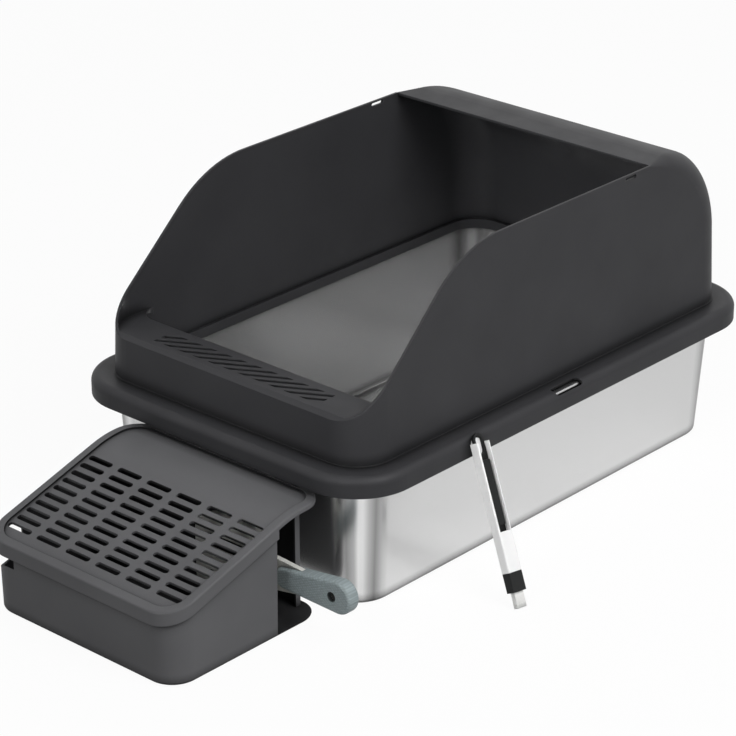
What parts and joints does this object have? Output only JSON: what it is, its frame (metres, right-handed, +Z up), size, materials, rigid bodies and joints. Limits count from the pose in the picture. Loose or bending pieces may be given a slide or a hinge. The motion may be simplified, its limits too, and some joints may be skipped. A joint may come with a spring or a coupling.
{
  "type": "litter box",
  "caption": "Steel litter pan under a rim frame and a high wall with ramped entry and hooded back, with a slotted entry step, a scoop stored in the step and a groove brush leaning on the rim.",
  "frame": {"origin": "centre of the steel pan's underside, on the floor", "axes": "+Y towards the hooded back, -Y towards the entry and its step, +X to the right-hand long side, +Z up"},
  "size_m": [0.4618, 0.7871, 0.3199],
  "materials": {
    "stainless_steel": "polished",
    "dark_plastic": "satin",
    "pad_rubber": "matt",
    "light_plastic": "satin",
    "grip_rubber": "matt",
    "white_plastic": "gloss",
    "black_plastic": "satin",
    "bristle_nylon": "matt"
  },
  "bodies": {
    "pan": {"steel_pan": "stainless_steel"},
    "shroud": {"rim_frame": "dark_plastic", "high_wall": "dark_plastic"},
    "step": {"step_base": "dark_plastic", "step_feet": "pad_rubber"},
    "lid": {"step_lid": "dark_plastic"},
    "scoop": {"scoop_blade": "light_plastic", "scoop_grip": "grip_rubber"},
    "brush": {"brush_handle": "black_plastic", "brush_ferrule": "black_plastic", "brush_bristles": "bristle_nylon"},
    "dustpan": {"dustpan_sleeve": "white_plastic"}
  },
  "joints": [
    {"name": "shroud_lift", "type": "slide", "parent": "pan", "child": "shroud", "axis": [0, 0, 1], "range_m": [0, 0.15]},
    {"name": "step_away", "type": "slide", "parent": "pan", "child": "step", "axis": [0, -1, 0], "range_m": [0, 0.12]},
    {"name": "lid_tilt", "type": "hinge", "parent": "step", "child": "lid", "pos_m": [0.0186, -0.29762, 0.1164], "axis": [-1, 0, 0], "range_deg": [0, 40]},
    {"name": "scoop_draw", "type": "slide", "parent": "step", "child": "scoop", "axis": [1, 0, 0], "range_m": [0, 0.16]},
    {"name": "brush_take", "type": "slide", "parent": "shroud", "child": "brush", "axis": [1, 0, 0], "range_m": [0, 0.1]},
    {"name": "dustpan_draw", "type": "slide", "parent": "brush", "child": "dustpan", "axis": [-0.4408, 0.1305, 0.888], "range_m": [0, 0.04]}
  ]
}
